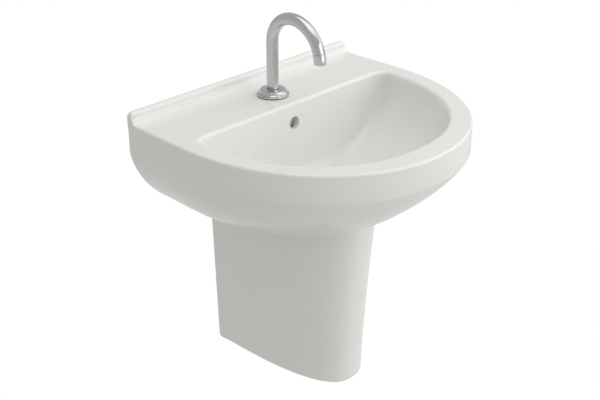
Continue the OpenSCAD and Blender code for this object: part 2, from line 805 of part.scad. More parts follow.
plug_r = 30;
plug_t = 5;
plug_lift = 0.4;
plug_z = flange_z + flange_t + plug_lift;
plug_neck_r = waste_bore_r - 1.6;
module waste_plug() {
    color(chrome) at_waste(plug_z) difference() {
        union() {
            rotate_extrude() polygon([
                [0, 0], [plug_r - 1, 0], [plug_r, 0.8], [plug_r, 1.6], [plug_r - 2.5, 3.4],
                [plug_r * 0.6, plug_t - 0.5], [0, plug_t]
            ]);
            translate([0, 0, -5]) cylinder(r = plug_neck_r, h = 5 + cut);
            translate([0, 0, spider_z - plug_z - stem_drop])
                cylinder(r = stem_r - 2, h = plug_z - spider_z + stem_drop - 4);
        }
        translate([0, 0, -3.2]) tube(plug_neck_r + 1, plug_neck_r - 1.4, 2.4);
    }
}

module plug_seal() {
    color(rubber) at_waste(plug_z - 2) rotate_extrude()
        translate([plug_neck_r - 0.2, 0]) circle(r = 1.1);
}

// Bottle trap below the waste, with its outlet to the wall
pipe_r = pipe_d / 2;
trap_r = trap_d / 2;
outlet_z = under_z - trap_outlet_drop;
trap_top = outlet_z + pipe_r + 14;
trap_split = outlet_z - pipe_r - 8;
cup_h = 80;
cup_bottom = trap_split - cup_h;
cup_wall = 3;
cup_bevel = 6;
slip_nut_h = 20;
slip_nut_r = pipe_r + 8;

// A slip nut with grips round it, open at both ends
module slip_nut(outer, inner, h) {
    grips = 12;
    difference() {
        union() {
            cylinder(r = outer, h = h);
            for (k = [0:grips - 1]) rotate([0, 0, 360 * k / grips]) translate([outer, 0, 2])
                cylinder(r = 1.6, h = h - 4);
        }
        translate([0, 0, -cut]) cylinder(r = inner, h = h + 2 * cut);
    }
}

module trap_inlet_nut() {
    color(chrome) at_waste(waste_end - slip_nut_h + 8) difference() {
        slip_nut(waste_r + 4, pipe_r + loose_gap, slip_nut_h);
        translate([0, 0, slip_nut_h - 12]) cylinder(r = waste_r + thread_gap, h = 12 + cut);
    }
}

module trap_inlet_pipe() {
    color(chrome) at_waste(0) difference() {
        union() {
            translate([0, 0, cup_bottom + 28]) cylinder(r = pipe_r, h = waste_end - cup_bottom - 28);
            translate([0, 0, waste_end - 3]) cylinder(r = waste_r - 0.5, h = 3);
        }
        translate([0, 0, cup_bottom + 28 - cut])
            cylinder(r = pipe_r - pipe_wall, h = waste_end - cup_bottom - 28 + 2 * cut);
    }
}

socket_len = 24;
module trap_body() {
    color(chrome) difference() {
        union() {
            at_waste(trap_split) cylinder(r = trap_r, h = trap_top - trap_split - 8);
            at_waste(trap_top - 8) cylinder(r1 = trap_r, r2 = slip_nut_r, h = 8);
            at_waste(trap_top) cylinder(r = slip_nut_r, h = 10);
            translate([0, -waste_y, outlet_z]) rotate([-90, 0, 0])
                cylinder(r = pipe_r + 4, h = trap_r + socket_len);
        }
        at_waste(trap_split - cut) cylinder(r = trap_r - cup_wall, h = trap_top - trap_split - 8 + cut);
        at_waste(trap_top - 9) cylinder(r = pipe_r + thread_gap, h = 20);
        translate([0, -waste_y, outlet_z]) rotate([-90, 0, 0])
            cylinder(r = pipe_r + thread_gap, h = trap_r + socket_len + cut);
    }
}

module trap_cup_seal() {
    color(rubber) at_waste(trap_split - 2) tube(trap_r - 1, trap_r - cup_wall, 2);
}

module trap_cup() {
    color(chrome) at_waste(cup_bottom) difference() {
        union() {
            cylinder(r1 = trap_r - cup_bevel, r2 = trap_r, h = cup_bevel);
            translate([0, 0, cup_bevel]) cylinder(r = trap_r, h = cup_h - cup_bevel - 2);
            translate([0, 0, cup_h - 20]) slip_nut(trap_r + 3, trap_r - cup_wall + 1, 18);
        }
        translate([0, 0, cup_bevel]) cylinder(r = trap_r - cup_wall, h = cup_h);
    }
}

outlet_nut_y = waste_y - trap_r - socket_len;
module trap_outlet_nut() {
    color(chrome) translate([0, -outlet_nut_y - 12, outlet_z]) rotate([-90, 0, 0]) difference() {
        slip_nut(slip_nut_r, pipe_r + loose_gap, slip_nut_h);
        translate([0, 0, -cut]) cylinder(r = pipe_r + 4 + thread_gap, h = 12 + cut);
    }
}

pipe_insert = 16;
module drain_pipe() {
    length = outlet_nut_y + pipe_insert;
    color(chrome) translate([0, 0, outlet_z]) from_wall() difference() {
        union() {
            cylinder(r = pipe_r, h = length);
            translate([0, 0, -drain_anchor]) cylinder(d = spigot_d, h = drain_anchor + cut);
        }
        translate([0, 0, -drain_anchor - cut])
            cylinder(r = pipe_r - pipe_wall, h = drain_anchor + length + 2 * cut);
    }
}

rosette_t = 7;
module rosette(outer, inner) {
    rotate_extrude() polygon([
        [inner, 0], [outer, 0], [outer, 1.2], [inner + 5, rosette_t - 1.5],
        [inner + 3.5, rosette_t], [inner, rosette_t]
    ]);
}

drain_rosette_r = 33;
module drain_rosette() {
    color(chrome) translate([0, 0, outlet_z]) from_wall() rosette(drain_rosette_r, pipe_r + loose_gap);
}

// Angle valves on the wall. The knob faces the room and the outlet points up.
valve_x = valve_spacing / 2;
valve_z = under_z - valve_drop;
valve_thread_r = valve_thread_d / 2;
valve_rosette_r = 24;
valve_body_r = 12;
valve_front = 58;
valve_out_y = 38;
valve_out_r = 8;
valve_out_h = 30;
knob_gap = 0.5;
knob_h = 22;
spindle_r = 4;
spindle_len = 14;

module at_valve(side) {
    translate([side * valve_x, 0, valve_z]) children();
}

module valve_body() {
    difference() {
        union() {
            translate([0, valve_anchor, 0]) from_wall()
                cylinder(r = valve_thread_r, h = valve_anchor + cut);
            from_wall() cylinder(r = valve_body_r, h = valve_front);
            translate([0, -valve_front, 0]) from_wall() cylinder(r = spindle_r, h = spindle_len);
            translate([0, -valve_out_y, 0]) cylinder(r = valve_out_r, h = valve_out_h);
        }
        translate([0, valve_anchor + cut, 0]) from_wall()
            cylinder(r = 6, h = valve_anchor + valve_out_y + 4);
        translate([0, -valve_out_y, 0]) cylinder(r = 4, h = valve_out_h + cut);
    }
}

module hot_valve_body() {
    color(chrome) at_valve(-1) valve_body();
}

module cold_valve_body() {
    color(chrome) at_valve(1) valve_body();
}

module hot_valve_rosette() {
    color(chrome) at_valve(-1) from_wall() rosette(valve_rosette_r, valve_body_r + loose_gap);
}

module cold_valve_rosette() {
    color(chrome) at_valve(1) from_wall() rosette(valve_rosette_r, valve_body_r + loose_gap);
}

// A knob with three lobes, so that its turn can be seen, and a bore for the spindle
lobe_r = 9;
module valve_knob() {
    translate([0, -valve_front - knob_gap, 0]) from_wall() difference() {
        union() {
            cylinder(r = knob_d / 2 - 4, h = knob_h - 3);
            translate([0, 0, knob_h - 3]) cylinder(r1 = knob_d / 2 - 4, r2 = knob_d / 2 - 7, h = 3);
            for (k = [0:2]) rotate([0, 0, 90 + 120 * k]) translate([knob_d / 2 - lobe_r, 0, 2])
                cylinder(r = lobe_r, h = knob_h - 8);
        }
        translate([0, 0, -cut]) cylinder(r = spindle_r + swivel_gap, h = spindle_len + 1 + cut);
    }
}

module hot_valve_knob() {
    color(chrome) at_valve(-1) valve_knob();
}

module cold_valve_knob() {
    color(chrome) at_valve(1) valve_knob();
}

// Hoses from the valves up to the tap shank, on a smooth curve between their two ends
hose_r = hose_d / 2;
hose_sides = 10;
hose_rings = 16;
fitting_h = 18;
hose_foot = valve_z + valve_out_h + fitting_h - 8;
hose_head = rim_z - shank_len - 14;
function curve(a, b, c, d, t) =
    pow(1 - t, 3) * a + 3 * t * pow(1 - t, 2) * b + 3 * t * t * (1 - t) * c + t * t * t * d;
function unit(v) = v / norm(v);
function hose_point(side, t) = curve(
    [side * valve_x, -valve_out_y, hose_foot],
    [side * valve_x, -valve_out_y, hose_foot + 110],
    [side * port_x, -tap_y, hose_head - 110],
    [side * port_x, -tap_y, hose_head], t);
function hose_dir(side, t) =
    t <= 0 || t >= 1 ? [0, 0, 1] : unit(hose_point(side, t + 0.01) - hose_point(side, t - 0.01));
function hose_ring(side, t, r) =
    let (d = hose_dir(side, t), u = unit(cross([0, 1, 0], d)), v = cross(d, u))
    [for (k = [0:hose_sides - 1])
        let (a = -360 * k / hose_sides)
        hose_point(side, t) + r * (cos(a) * u + sin(a) * v)];

module hose(side) {
    loft([for (i = [hose_rings:-1:0]) hose_ring(side, i / hose_rings, hose_r)]);
}

module hot_hose() {
    color(braid) hose(-1);
}

module cold_hose() {
    color(braid) hose(1);
}

// Fittings at both ends of a hose: a nut on the valve, a ferrule and a stem in the tap
module hose_fittings(side) {
    translate([side * valve_x, -valve_out_y, valve_z + valve_out_h - 10]) {
        difference() {
            hex(19, fitting_h - 6);
            translate([0, 0, -cut]) cylinder(r = valve_out_r + thread_gap, h = 10 + cut);
        }
        translate([0, 0, fitting_h - 6]) cylinder(r = hose_r + 0.8, h = 8);
    }
    translate([side * port_x, -tap_y, hose_head]) {
        cylinder(r = hose_r + 0.8, h = 8);
        translate([0, 0, 8]) cylinder(r = port_r - thread_gap, h = 6 + port_len - 1);
    }
}

module hot_hose_fittings() {
    color(steel) hose_fittings(-1);
}

module cold_hose_fittings() {
    color(steel) hose_fittings(1);
}

basin();
semi_pedestal();
basin_wall_bolts();
basin_bolt_sleeves();
basin_bolt_washers();
basin_bolt_nuts();
pedestal_wall_bolts();
pedestal_bolt_washers();
pedestal_bolt_nuts();
tap_base_gasket();
tap_body();
tap_base_collar();
tap_rubber_washer();
tap_steel_washer();
tap_backnut();
spout_thrust_washer();
tap_spout();
spout_o_rings();
spout_retaining_clip();
aerator_sleeve();
aerator_insert();
aerator_seal();
waste_seal();
waste_body();
waste_lower_seal();
waste_backnut();
plug_cartridge();
waste_plug();
plug_seal();
trap_inlet_nut();
trap_inlet_pipe();
trap_body();
trap_cup_seal();
trap_cup();
trap_outlet_nut();
drain_pipe();
drain_rosette();
hot_valve_body();
cold_valve_body();
hot_valve_rosette();
cold_valve_rosette();
hot_valve_knob();
cold_valve_knob();
hot_hose();
cold_hose();
hot_hose_fittings();
cold_hose_fittings();
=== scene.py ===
import json
import math

import bmesh
import bpy
import numpy as np
from mathutils import Matrix, Vector


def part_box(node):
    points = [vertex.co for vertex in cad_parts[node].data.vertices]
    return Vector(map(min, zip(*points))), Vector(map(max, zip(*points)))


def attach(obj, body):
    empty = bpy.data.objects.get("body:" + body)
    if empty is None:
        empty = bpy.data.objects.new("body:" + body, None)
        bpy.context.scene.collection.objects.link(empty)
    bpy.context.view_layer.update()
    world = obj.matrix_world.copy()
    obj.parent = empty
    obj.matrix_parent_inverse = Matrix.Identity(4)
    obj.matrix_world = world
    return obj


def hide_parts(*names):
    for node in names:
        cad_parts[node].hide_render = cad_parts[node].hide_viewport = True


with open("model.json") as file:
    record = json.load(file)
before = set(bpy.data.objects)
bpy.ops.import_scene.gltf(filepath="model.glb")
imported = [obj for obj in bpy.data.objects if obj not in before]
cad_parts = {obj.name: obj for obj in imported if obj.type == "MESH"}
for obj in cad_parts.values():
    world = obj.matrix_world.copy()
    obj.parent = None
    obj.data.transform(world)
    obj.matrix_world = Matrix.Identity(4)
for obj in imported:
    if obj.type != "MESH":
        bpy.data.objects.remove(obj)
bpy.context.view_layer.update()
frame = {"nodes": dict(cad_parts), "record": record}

MM = 0.001

# ---------------------------------------------------------------------------
# Places and sizes, in millimetres, read from the frame
# ---------------------------------------------------------------------------


def box_mm(node):
    low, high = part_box(node)
    return np.array(low) / MM, np.array(high) / MM


basin_low, basin_high = box_mm("basin")
ped_low, ped_high = box_mm("semi_pedestal")
plate_low, plate_high = box_mm("tap_body")
gasket_low, gasket_high = box_mm("tap_base_gasket")
collar_low, collar_high = box_mm("tap_base_collar")
spout_low, spout_high = box_mm("tap_spout")
sleeve_high = box_mm("aerator_sleeve")[1]
waste_low, waste_high = box_mm("waste_body")
bolt_low, bolt_high = box_mm("basin_wall_bolts")

LEDGE_H = 23
BASIN_HALF = basin_high[0]
BASIN_D = -basin_low[1]
UNDER_Z = basin_low[2]
RIM_Z = basin_high[2] - LEDGE_H
APRON_H = 55
CREASE_Z = RIM_Z - APRON_H
WALL = 10
DECK = 14
BACK = 12
BACK_TAPER = 3
WIDEST_Y = 169
FRONT_POWER = 2.07
RIM_R = 5

FOOT_HALF = 170
FOOT_D = 344
FOOT_WIDEST_Y = 108
BELLY_SIDE_POWER = 1.56
BELLY_FRONT_POWER = 1.2

WASTE_Y = -(waste_low[1] + waste_high[1]) / 2
BOWL_HALF = BASIN_HALF - 41
BOWL_BACK = 148
BOWL_FRONT = BASIN_D - 51
BOWL_DEPTH = 150
BOWL_EDGE_R = 7
BOWL_FLOOR_R = 38
BOWL_SHAPE = 2.15
BOWL_CORNER = 36
BOWL_BACK_POWER = 3.2
BOWL_SIDE_POWER = 2.3
BOWL_FRONT_POWER = 2.0
BOWL_WIDEST = 24
FLOOR_Z = RIM_Z - BOWL_DEPTH

OVERFLOW_R = 13.2
OVERFLOW_Y = -151.9
OVERFLOW_Z = RIM_Z - 43
DUCT_HALF = 21
CHANNEL_HALF = 15
CHANNEL_TOP = 0.89
BOSS_R = 35
BOSS_Z = FLOOR_Z - 36
BASIN_BOLT_HOLE_R = 9
BASIN_BOLT_RELIEF_R = 13
BOLT_RELIEF = 3
SERVICE_HALF = 84
SERVICE_BACK = 16
SERVICE_FRONT = 318
WINDOW_HALF = 90
WINDOW_TOP = RIM_Z - 75

TAP_Y = -(gasket_low[1] + gasket_high[1]) / 2

# Points along the half outline: back edge, back corner, side and front
OUTLINE_COUNTS = (20, 8, 14, 64)


def lerp(a, b, t):
    return a + (b - a) * t


def half_outline(z, w, wb, yb, ym, yf, n, rx, ry, counts):
    """Half of a D-shaped outline, from the middle of the back to the middle of the front."""
    back_n, corner_n, side_n, front_n = counts
    points = [((wb - rx) * i / back_n, -yb, z) for i in range(back_n + 1)]
    for i in range(1, corner_n + 1):
        a = math.radians(90 - 90 * i / corner_n)
        points.append((wb - rx + rx * math.cos(a), -yb - ry + ry * math.sin(a), z))
    for i in range(1, side_n + 1):
        t = i / side_n
        ease = math.sin(math.pi / 2 * t) ** 1.9
        points.append((lerp(wb, w, ease), -lerp(yb + ry, ym, t), z))
    for i in range(1, front_n + 1):
        a = math.radians(90 * i / front_n)
        x = w * max(math.cos(a), 0) ** (2 / n)
        points.append((x, -lerp(ym, yf, math.sin(a) ** (2 / n)), z))
    return points


def outline(z, w, wb, yb, ym, yf, n, rx, ry, counts=OUTLINE_COUNTS):
    """The whole outline, clockwise seen from above."""
    half = half_outline(z, w, wb, yb, ym, yf, n, rx, ry, counts)
    mirrored = [(-x, y, z) for x, y, z in half[-2:0:-1]]
    return np.array(half + mirrored)


# ---------------------------------------------------------------------------
# Mesh helpers
# ---------------------------------------------------------------------------


def new_object(name, verts, faces, material=None, sharp_deg=35):
    """A smooth-shaded mesh object from points in millimetres."""
    mesh = bpy.data.meshes.new(name)
    mesh.from_pydata([tuple(float(c) * MM for c in v) for v in verts], [], faces)
    mesh.validate()
    point_outwards(mesh)
    obj = bpy.data.objects.new(name, mesh)
    bpy.context.scene.collection.objects.link(obj)
    shade(obj, sharp_deg)
    if material:
        mesh.materials.append(material)
    return obj


def point_outwards(mesh):
    """Turns every face of a closed mesh outwards."""
    work = bmesh.new()
    work.from_mesh(mesh)
    bmesh.ops.recalc_face_normals(work, faces=work.faces)
    work.to_mesh(mesh)
    work.free()
    mesh.update()


def shade(obj, sharp_deg=35):
    """Smooth shading, with the edges sharper than an angle kept sharp."""
    mesh = obj.data
    mesh.polygons.foreach_set("use_smooth", [True] * len(mesh.polygons))
    mesh.set_sharp_from_angle(angle=math.radians(sharp_deg))


def skin_data(rings, closed=False, caps=True, fan=True):
    """Points and faces of a skin through rings of equal length, with fanned or plain end faces."""
    n = len(rings[0])
    count = len(rings)
    verts = [tuple(p) for ring in rings for p in ring]
    faces = []
    for r in range(count if closed else count - 1):
        a0, b0 = r * n, ((r + 1) % count) * n
        faces += [(b0 + i, b0 + (i + 1) % n, a0 + (i + 1) % n, a0 + i) for i in range(n)]
    if caps and not closed and not fan:
        faces.append(tuple(range(n)))
        faces.append(tuple(range((count - 1) * n, count * n))[::-1])
    elif caps and not closed:
        for ring, base, flip in ((rings[0], 0, False), (rings[-1], (count - 1) * n, True)):
            ring = np.array(ring)
            verts.append(tuple((ring.min(0) + ring.max(0)) / 2))
            mid = len(verts) - 1
            for i in range(n):
                a, b = base + i, base + (i + 1) % n
                faces.append((mid, b, a) if flip else (mid, a, b))
    return verts, faces


def skin(name, rings, material=None, closed=False, caps=True, sharp_deg=35, fan=True):
    verts, faces = skin_data(rings, closed, caps, fan)
    return new_object(name, verts, faces, material, sharp_deg)


def lathe(name, profile, centre, material=None, sides=96, axis="z", sharp_deg=35, closed=True):
    """Turns a closed (radius, height) profile about an axis through a centre point."""
    rings = []
    for r, h in profile:
        ring = []
        for k in range(sides):
            a = -2 * math.pi * k / sides
            u, v = r * math.cos(a), r * math.sin(a)
            local = {"z": (u, v, h), "y": (u, -h, v), "-y": (u, h, -v)}[axis]
            ring.append(tuple(c + d for c, d in zip(centre, local)))
        rings.append(ring)
    return skin(name, rings, material, closed=closed, caps=not closed, sharp_deg=sharp_deg)


def rounded(profile, radius, steps=5):
    """A closed (radius, height) profile with each corner rounded by up to a radius."""
    points = [np.array(p, float) for p in profile]
    out = []
    for i, p in enumerate(points):
        a, b = points[i - 1], points[(i + 1) % len(points)]
        da, db = a - p, b - p
        la, lb = np.linalg.norm(da), np.linalg.norm(db)
        cut = min(radius, la * 0.45, lb * 0.45)
        start, end = p + da / la * cut, p + db / lb * cut
        for k in range(steps + 1):
            t = k / steps
            q = (1 - t) ** 2 * start + 2 * t * (1 - t) * p + t * t * end
            out.append((float(q[0]), float(q[1])))
    return out


def sweep_rings(points, radii, sides):
    """Rings round a path of points in millimetres, with parallel transport."""
    points = np.array(points, float)
    tangents = np.gradient(points, axis=0)
    tangents /= np.linalg.norm(tangents, axis=1)[:, None]
    normal = np.array((1.0, 0.0, 0.0))
    rings = []
    for p, t, r in zip(points, tangents, radii):
        normal = normal - t * np.dot(normal, t)
        normal /= np.linalg.norm(normal)
        other = np.cross(t, normal)
        angles = 2 * math.pi * np.arange(sides) / sides
        rings.append([p + r * (math.cos(a) * normal + math.sin(a) * other) for a in angles])
    return rings


def remesh_from(obj):
    """Replaces an object's mesh by what its modifiers make of it."""
    depsgraph = bpy.context.evaluated_depsgraph_get()
    made = bpy.data.meshes.new_from_object(obj.evaluated_get(depsgraph))
    obj.modifiers.clear()
    old, obj.data = obj.data, made
    made.name = obj.name
    bpy.data.meshes.remove(old)


def combine(obj, other, operation):
    """Exact boolean of obj with other, which is removed."""
    modifier = obj.modifiers.new("combine", "BOOLEAN")
    modifier.operation = operation
    modifier.solver = "EXACT"
    modifier.object = other
    bpy.context.view_layer.update()
    remesh_from(obj)
    bpy.data.objects.remove(other)


# ---------------------------------------------------------------------------
# Materials
# ---------------------------------------------------------------------------


class Nodes:
    """A new material with short calls for its nodes."""

    def __init__(self, name):
        self.material = bpy.data.materials.new(name)
        self.material.use_nodes = True
        self.tree = self.material.node_tree
        self.shader = self.tree.nodes["Principled BSDF"]
        self.coords = self.tree.nodes.new("ShaderNodeTexCoord").outputs["Object"]

    def set(self, **values):
        for key, value in values.items():
            self.shader.inputs[key.replace("_", " ")].default_value = value

    def link(self, out, name):
        self.tree.links.new(out, self.shader.inputs[name])

    def noise(self, scale, detail=3.0, roughness=0.5, vector=None):
        node = self.tree.nodes.new("ShaderNodeTexNoise")
        node.inputs["Scale"].default_value = scale
        node.inputs["Detail"].default_value = detail
        node.inputs["Roughness"].default_value = roughness
        self.tree.links.new(vector or self.coords, node.inputs["Vector"])
        return node.outputs["Fac"]

    def stretched(self, scale):
        node = self.tree.nodes.new("ShaderNodeMapping")
        node.inputs["Scale"].default_value = scale
        self.tree.links.new(self.coords, node.inputs["Vector"])
        return node.outputs["Vector"]

    def ramp(self, fac, stops):
        node = self.tree.nodes.new("ShaderNodeValToRGB")
        ramp = node.color_ramp
        while len(ramp.elements) < len(stops):
            ramp.elements.new(0.5)
        for element, (position, colour) in zip(ramp.elements, stops):
            element.position = position
            element.color = (*colour, 1)
        self.tree.links.new(fac, node.inputs["Fac"])
        return node.outputs["Color"]

    def spread(self, fac, low, high):
        node = self.tree.nodes.new("ShaderNodeMapRange")
        node.inputs["From Min"].default_value = 0.3
        node.inputs["From Max"].default_value = 0.7
        node.inputs["To Min"].default_value = low
        node.inputs["To Max"].default_value = high
        self.tree.links.new(fac, node.inputs["Value"])
        return node.outputs["Result"]

    def bump(self, height, strength, distance):
        node = self.tree.nodes.new("ShaderNodeBump")
        node.inputs["Strength"].default_value = strength
        node.inputs["Distance"].default_value = distance
        self.tree.links.new(height, node.inputs["Height"])
        return node.outputs["Normal"]


def glazed_china():
    """White vitreous china under a clear glaze with a faint orange peel."""
    m = Nodes("glazed_china")
    tone = m.noise(7.0, 4.0)
    m.link(m.ramp(tone, [(0.3, (0.86, 0.865, 0.83)), (0.7, (0.88, 0.88, 0.855))]), "Base Color")
    m.link(m.spread(m.noise(22.0), 0.10, 0.16), "Roughness")
    m.link(m.bump(m.noise(60.0, 1.0), 0.05, 0.0006), "Normal")
    m.set(IOR=1.52, Coat_Weight=0.35, Coat_Roughness=0.04, Coat_IOR=1.5)
    return m.material


def chrome():
    """Polished chrome plate with faint wipe marks."""
    m = Nodes("polished_chrome")
    tint = (0.62, 0.615, 0.645)
    m.set(Metallic=1.0)
    smear = m.noise(40.0, 5.0, 0.6, m.stretched((1, 1, 0.25)))
    darker = tuple(0.94 * c for c in tint)
    m.link(m.ramp(smear, [(0.35, darker), (0.65, tint)]), "Base Color")
    m.link(m.spread(m.noise(90.0, 4.0), 0.14, 0.20), "Roughness")
    m.link(m.bump(m.noise(70.0, 1.0), 0.01, 0.0003), "Normal")
    return m.material


def zinc_steel():
    """Zinc plated steel with a dull spangle."""
    m = Nodes("zinc_steel")
    m.set(Metallic=1.0)
    spangle = m.noise(260.0, 2.0)
    m.link(m.ramp(spangle, [(0.3, (0.42, 0.43, 0.45)), (0.7, (0.60, 0.61, 0.62))]), "Base Color")
    m.link(m.spread(m.noise(500.0), 0.28, 0.45), "Roughness")
    m.link(m.bump(m.noise(700.0, 3.0), 0.15, 0.0003), "Normal")
    return m.material


def raw_brass():
    m = Nodes("raw_brass")
    m.set(Metallic=1.0)
    m.link(m.ramp(m.noise(80.0, 4.0), [(0.3, (0.50, 0.36, 0.14)), (0.7, (0.68, 0.52, 0.24))]), "Base Color")
    m.link(m.spread(m.noise(300.0), 0.22, 0.42), "Roughness")
    m.link(m.bump(m.noise(900.0, 2.0, 0.5, m.stretched((1, 1, 6))), 0.1, 0.0002), "Normal")
    return m.material


def black_rubber():
    m = Nodes("black_rubber")
    m.link(m.ramp(m.noise(200.0), [(0.3, (0.012, 0.012, 0.013)), (0.7, (0.030, 0.030, 0.032))]), "Base Color")
    m.link(m.spread(m.noise(400.0), 0.5, 0.75), "Roughness")
    m.link(m.bump(m.noise(1500.0), 0.2, 0.0002), "Normal")
    return m.material


def white_nylon():
    m = Nodes("white_nylon")
    m.link(m.ramp(m.noise(60.0), [(0.3, (0.70, 0.70, 0.66)), (0.7, (0.80, 0.80, 0.77))]), "Base Color")
    m.link(m.spread(m.noise(220.0), 0.35, 0.5), "Roughness")
    m.link(m.bump(m.noise(1200.0), 0.08, 0.0002), "Normal")
    m.set(Subsurface_Weight=0.1, Subsurface_Scale=0.002)
    return m.material


def steel_braid():
    m = Nodes("steel_braid")
    m.set(Metallic=1.0)
    m.link(m.ramp(m.noise(500.0), [(0.3, (0.45, 0.46, 0.47)), (0.7, (0.68, 0.69, 0.70))]), "Base Color")
    m.link(m.spread(m.noise(900.0), 0.22, 0.4), "Roughness")
    m.link(m.bump(m.noise(2500.0), 0.2, 0.0002), "Normal")
    return m.material


MATERIALS = {
    "glazed_china": glazed_china(),
    "polished_chrome": chrome(),
    "zinc_steel": zinc_steel(),
    "raw_brass": raw_brass(),
    "black_rubber": black_rubber(),
    "white_nylon": white_nylon(),
    "steel_braid": steel_braid(),
}
SLOT_OF = {s["node"]: s["material_slot"] for s in frame["record"]["subparts"]}
BODY_OF = {n: b for b, ns in frame["record"]["behaviour"]["bodies"].items() for n in ns}


def follow(obj, node):
    """A piece takes the body, slot and material of a CAD node."""
    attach(obj, BODY_OF[node])
    if not obj.data.materials:
        obj.data.materials.append(MATERIALS[SLOT_OF[node]])


def place(obj, node):
    """A piece follows a CAD node and stands for it."""
    follow(obj, node)
    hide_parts(node)


# ---------------------------------------------------------------------------
# Basin
# ---------------------------------------------------------------------------


def swell(t, p):
    """Rises from 0 at t = 0 to 1 at t = 1, steeply at first."""
    return max(1 - (1 - t) ** p, 0) ** (1 / p)


def rim_outline(z, s):
    return outline(
        z, BASIN_HALF - s, BASIN_HALF - BACK_TAPER - s, 0, WIDEST_Y, BASIN_D - s, FRONT_POWER, 2, 2
    )


def belly_half(t, s):
    share = max(1 - t**BELLY_SIDE_POWER, 0) ** (1 / BELLY_SIDE_POWER)
    return lerp(FOOT_HALF, BASIN_HALF, share) - s


def belly_depth(t, s):
    share = max(1 - t**BELLY_FRONT_POWER, 0) ** (1 / BELLY_FRONT_POWER)
    return lerp(FOOT_D, BASIN_D, share) - s


def belly_outline(z, t, s, yb, rc):
    w = belly_half(t, s)
    ym = lerp(WIDEST_Y, FOOT_WIDEST_Y, t)
    return outline(z, w, w - BACK_TAPER, yb, ym, belly_depth(t, s), FRONT_POWER, rc, rc)


def bowl_back_y(t, s):
    return lerp(WASTE_Y - BOWL_FLOOR_R, BOWL_BACK, swell(t, BOWL_BACK_POWER)) - s


def bowl_outline(z, t, s):
    b = bowl_back_y(t, s)
    w = lerp(BOWL_FLOOR_R, BOWL_HALF, swell(t, BOWL_SIDE_POWER)) + s
    m = lerp(WASTE_Y, BOWL_BACK + BOWL_WIDEST, swell(t, BOWL_BACK_POWER))
    f = lerp(WASTE_Y + BOWL_FLOOR_R, BOWL_FRONT, swell(t, BOWL_FRONT_POWER)) + s
    return outline(z, w, w, b, m, f, BOWL_SHAPE, BOWL_CORNER + s, (m - b) * 0.8)


def quarter(n):
    """Angles from just above 0 to 90 degrees, in radians."""
    return [math.pi / 2 * i / n for i in range(1, n + 1)]


def basin_skin():
    edge_z = RIM_Z - BOWL_EDGE_R
    rings = []
    bowl_n = 44
    for i in range(bowl_n + 1):
        t = (i / bowl_n) ** 1.8
        rings.append(bowl_outline(lerp(FLOOR_Z, edge_z, t), t, 0))
    for a in quarter(8):
        rings.append(bowl_outline(edge_z + BOWL_EDGE_R * math.sin(a), 1, BOWL_EDGE_R * (1 - math.cos(a))))
    rings.append(bowl_outline(RIM_Z, 1, BOWL_EDGE_R + 2))
    rings.append(rim_outline(RIM_Z, RIM_R + 1.5))
    rings.append(rim_outline(RIM_Z, RIM_R))
    for a in quarter(8):
        rings.append(rim_outline(RIM_Z - RIM_R * (1 - math.cos(a)), RIM_R * (1 - math.sin(a))))
    for z in (RIM_Z - RIM_R - 2, lerp(RIM_Z, CREASE_Z, 0.5)):
        rings.append(rim_outline(z, 0))
    belly_n = 40
    for i in range(belly_n + 1):
        t = 0.5 - 0.5 * math.cos(math.pi * i / belly_n)
        rings.append(belly_outline(lerp(CREASE_Z, UNDER_Z, t), t, 0, 0, 2))
    # Service opening, with a rounded lip, then the hollow up to the underside of the bowl
    lip = 3
    inner_z = UNDER_Z + WALL

    def service(z, s):
        half, back, front = SERVICE_HALF + s, SERVICE_BACK - s, SERVICE_FRONT + s
        return outline(z, half, half, back, 150, front, 2.6, 8, 8)

    rings.append(service(UNDER_Z, lip + 2))
    for a in [0] + quarter(4):
        rings.append(service(UNDER_Z + lip * (1 - math.cos(a)), lip * (1 - math.sin(a))))
    rings.append(service(inner_z, 0))
    hollow_n = 10
    for i in range(hollow_n + 1):
        t = 1 - (i / hollow_n) ** 1.5
        rings.append(belly_outline(lerp(CREASE_Z, inner_z, t), t, WALL, BACK, 12))
    rings.append(belly_outline(RIM_Z - DECK, 0, WALL, BACK, 12))
    under_n = 16
    for i in range(under_n + 1):
        t = (1 - i / under_n) ** 1.8
        rings.append(bowl_outline(lerp(FLOOR_Z - WALL, RIM_Z - DECK, t), t, WALL))
    return skin("basin_china", rings, MATERIALS["glazed_china"])


def ledge_section(h, d, fillet):
    """Splash ledge section in y and z, from its foot at the back round to its front foot."""
    front_r, back_r = 7.0, 2.0
    points = [(-0.3, RIM_Z - RIM_R - 3), (-0.3, RIM_Z + h - back_r)]
    for a in quarter(5):
        points.append((-0.3 - back_r * (1 - math.cos(a)), RIM_Z + h - back_r * (1 - math.sin(a))))
    for i in range(9):
        a = math.radians(lerp(90, 180, i / 8))
        points.append((-d + front_r + front_r * math.cos(a), RIM_Z + h - front_r + front_r * math.sin(a)))
    for i in range(13):
        a = math.radians(lerp(0, -90, i / 12))
        points.append((-d - fillet + fillet * math.cos(a), RIM_Z + fillet - 0.12 + fillet * math.sin(a)))
    points.append((-d - fillet, RIM_Z - RIM_R - 3))
    return points


def splash_ledge():
    """The ledge runs flush into both sides, and its ends round over at the top."""
    half = BASIN_HALF - BACK_TAPER + 0.02
    end_r = 9.0
    stations = [(lerp(-1, 1, i / 40) * (half - end_r), 0.0) for i in range(41)]
    ends = [(half - end_r + end_r * math.sin(a), end_r * (1 - math.cos(a))) for a in quarter(10)]
    stations = [(-x, inset) for x, inset in reversed(ends)] + stations + ends
    rings = []
    for x, inset in stations:
        section = ledge_section(LEDGE_H - inset, 12 - inset * 0.2, 15 - inset * 0.4)
        rings.append([(x, y, z) for y, z in section])
    return skin("splash_ledge", rings, fan=False)


